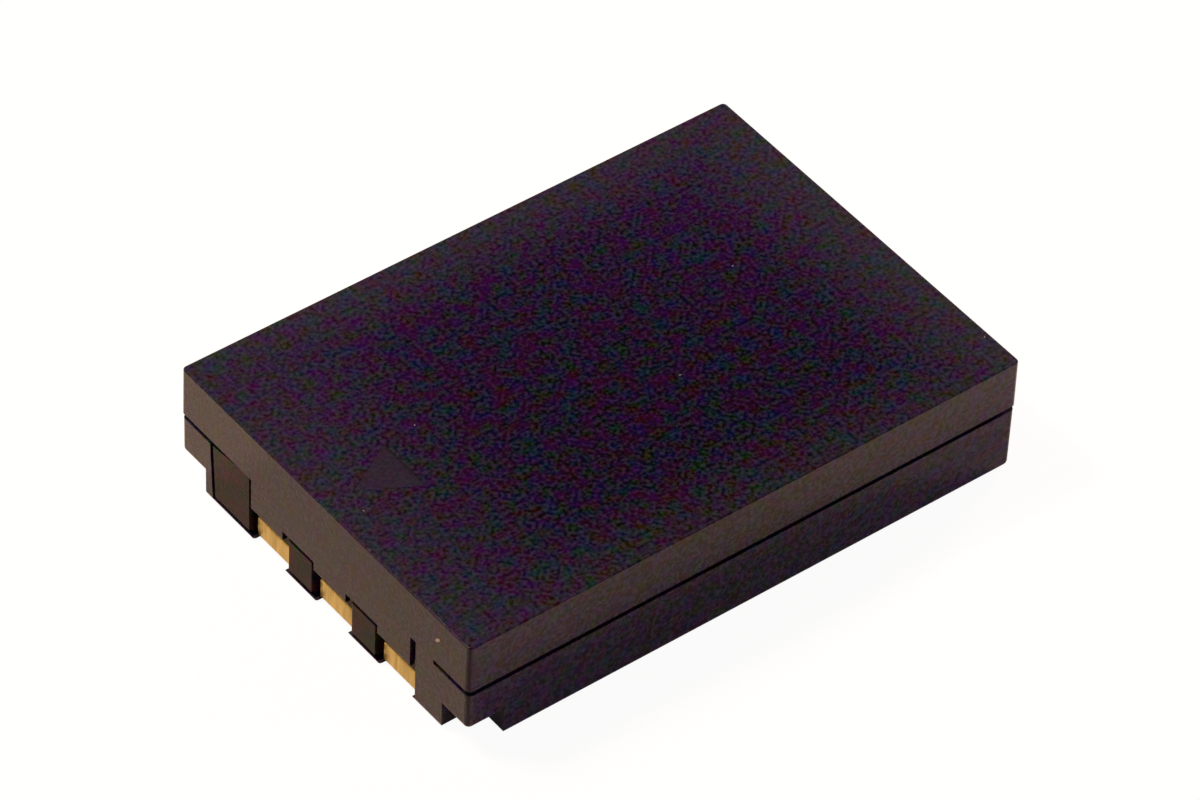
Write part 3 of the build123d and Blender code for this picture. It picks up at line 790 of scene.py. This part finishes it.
floor_mesh = bpy.data.meshes.new("studio_floor")
shape = bmesh.new()
bmesh.ops.create_grid(shape, x_segments=1, y_segments=1, size=FLOOR_SIZE / 2)
bmesh.ops.translate(shape, verts=shape.verts, vec=(0, 0, -FLOOR_DROP))
shape.to_mesh(floor_mesh)
shape.free()
floor = bpy.data.objects.new("studio_floor", floor_mesh)
bpy.context.scene.collection.objects.link(floor)
print("floor", FLOOR_SIZE, "m square")

# %% White paper on the floor
PAPER_WHITE = (0.92, 0.80, 0.66, 1.0)
PLAIN_WHITE = (1.0, 1.0, 1.0, 1.0)
GLOW_TO_CAMERA = 0.95
GLOW_IN_MIRRORS = 0.10

paper = bpy.data.materials.new("white_paper")
paper.use_nodes = True
tree = paper.node_tree
tree.nodes.remove(tree.nodes["Principled BSDF"])
rays = add(tree, "LightPath").outputs
direct = calc(tree, "MAXIMUM", rays["Is Camera Ray"], rays["Is Transmission Ray"])
direct = calc(tree, "MULTIPLY", direct, GLOW_TO_CAMERA)
mirrored = calc(tree, "MULTIPLY", rays["Is Glossy Ray"], GLOW_IN_MIRRORS)
surface = add(tree, "BsdfDiffuse", {"Color": PAPER_WHITE})
glow = add(tree, "Emission", {"Color": PLAIN_WHITE, "Strength": 1.0})
share = calc(tree, "MAXIMUM", direct, mirrored)
mixed = add(tree, "MixShader", {0: share, 1: surface.outputs[0], 2: glow.outputs[0]})
tree.links.new(mixed.outputs[0], tree.nodes["Material Output"].inputs["Surface"])
floor.data.materials.append(paper)
print("finish", paper.name, "with", len(tree.nodes), "nodes")

# %% World
ROOM_LIGHT = 0.06
ROOM_COLOUR = (0.95, 0.86, 1.0, 1.0)

world = bpy.data.worlds.new("studio")
world.use_nodes = True
tree = world.node_tree
rays = add(tree, "LightPath").outputs
room = tree.nodes["Background"]
room.inputs["Color"].default_value = ROOM_COLOUR
strength = remap(tree, rays["Is Camera Ray"], 0.0, 1.0, ROOM_LIGHT, 1.0)
tree.links.new(strength, room.inputs["Strength"])
bpy.context.scene.world = world
print("room light", ROOM_LIGHT)

# %% [markdown]
# ## Light
# On a black object the light is seen mostly by what it does to the floor, because the upright
# sides mirror the floor beside them. The warm main panel hangs high, on the left and a little
# behind. So the floor in front of the contact end is bright, and the pack's own shadow lies in
# front of the long side, just as far out as the lower case mirrors: that is why the lower case is
# so much darker there than the upper one. A panel on the right, a little behind, brightens the
# far end of that side. A low one in front barely touches the floor, and gives the dark side its
# violet. Nothing stands where the top would mirror it, so the top stays nearly black. Both low
# panels are left out of mirror images, because from the far side a low lamp would turn the whole
# top white.

# %% Soft boxes
AIM = Vector((0.0, 0.0, 5.0)) * MM


def soft_box(name, direction, distance, size, power, colour, mirrored=True):
    """A square panel of light that faces the pack from one direction, seen in mirrors or not."""
    lamp = bpy.data.lights.new(name, "AREA")
    lamp.shape = "SQUARE"
    lamp.size = size
    lamp.energy = power
    lamp.color = colour
    holder = bpy.data.objects.new(name, lamp)
    away = Vector(direction).normalized()
    holder.location = AIM + away * distance
    holder.rotation_euler = away.to_track_quat("Z", "Y").to_euler()
    holder.visible_glossy = mirrored
    bpy.context.scene.collection.objects.link(holder)
    print(name, power, "W at", [round(value, 2) for value in holder.location])


soft_box(
    "main_panel",
    direction=(-0.37, 0.36, 0.85),
    distance=0.35,
    size=0.08,
    power=1.86,
    colour=(1.0, 0.77, 0.53),
)
soft_box(
    "right_panel",
    direction=(0.90, 0.30, 0.28),
    distance=0.40,
    size=0.12,
    power=2.75,
    colour=(1.0, 0.79, 0.57),
    mirrored=False,
)
soft_box(
    "low_fill",
    direction=(0.75, -0.65, 0.08),
    distance=0.50,
    size=0.15,
    power=2.7,
    colour=(1.0, 0.76, 0.74),
    mirrored=False,
)
